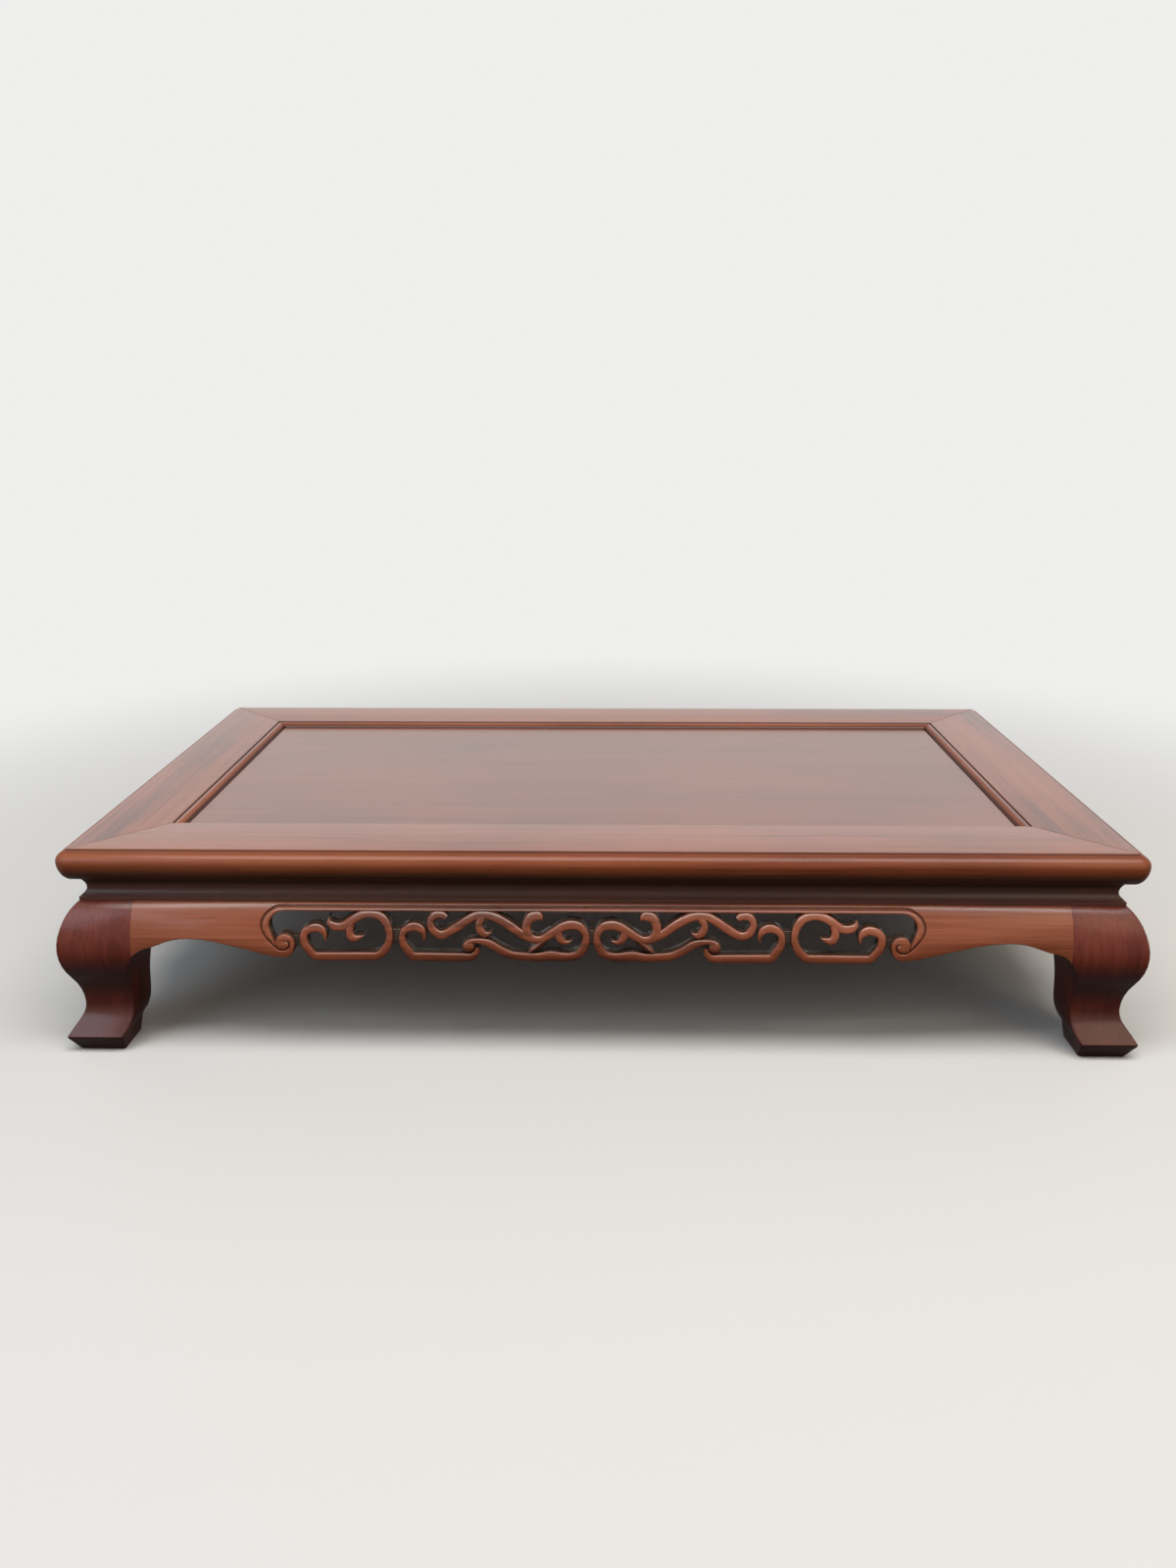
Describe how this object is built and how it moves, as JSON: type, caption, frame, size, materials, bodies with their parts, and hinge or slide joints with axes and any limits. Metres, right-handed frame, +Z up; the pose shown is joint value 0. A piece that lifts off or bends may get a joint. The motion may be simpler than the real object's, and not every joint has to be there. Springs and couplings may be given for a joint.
{
  "type": "display table",
  "caption": "Low waisted display table with a mitred frame top, recessed floating panel, hollow waist, openwork scroll aprons and cabriole legs with out-turned toes.",
  "frame": {"origin": "middle of the footprint, on the surface that the feet stand on", "axes": "+X along the table's length, +Y from the pictured front to the back, +Z up"},
  "size_m": [0.8992, 0.5092, 0.18],
  "materials": {
    "frame_wood": "reddish brown rosewood, satin lacquer",
    "panel_wood": "reddish brown rosewood, satin lacquer",
    "batten_wood": "planed, unlacquered",
    "waist_wood": "reddish brown rosewood, satin lacquer, darkened in the hollow",
    "apron_wood": "carved reddish brown rosewood, satin lacquer",
    "leg_wood": "reddish brown rosewood, satin lacquer"
  },
  "bodies": {
    "root": {"top_front_rail": "frame_wood", "top_back_rail": "frame_wood", "top_left_stile": "frame_wood", "top_right_stile": "frame_wood", "top_panel": "panel_wood", "panel_batten_left": "batten_wood", "panel_batten_middle": "batten_wood", "panel_batten_right": "batten_wood", "waist_front": "waist_wood", "waist_back": "waist_wood", "waist_left": "waist_wood", "waist_right": "waist_wood", "apron_front": "apron_wood", "apron_back": "apron_wood", "apron_left": "apron_wood", "apron_right": "apron_wood", "leg_front_left": "leg_wood", "leg_front_right": "leg_wood", "leg_back_left": "leg_wood", "leg_back_right": "leg_wood"}
  },
  "joints": []
}
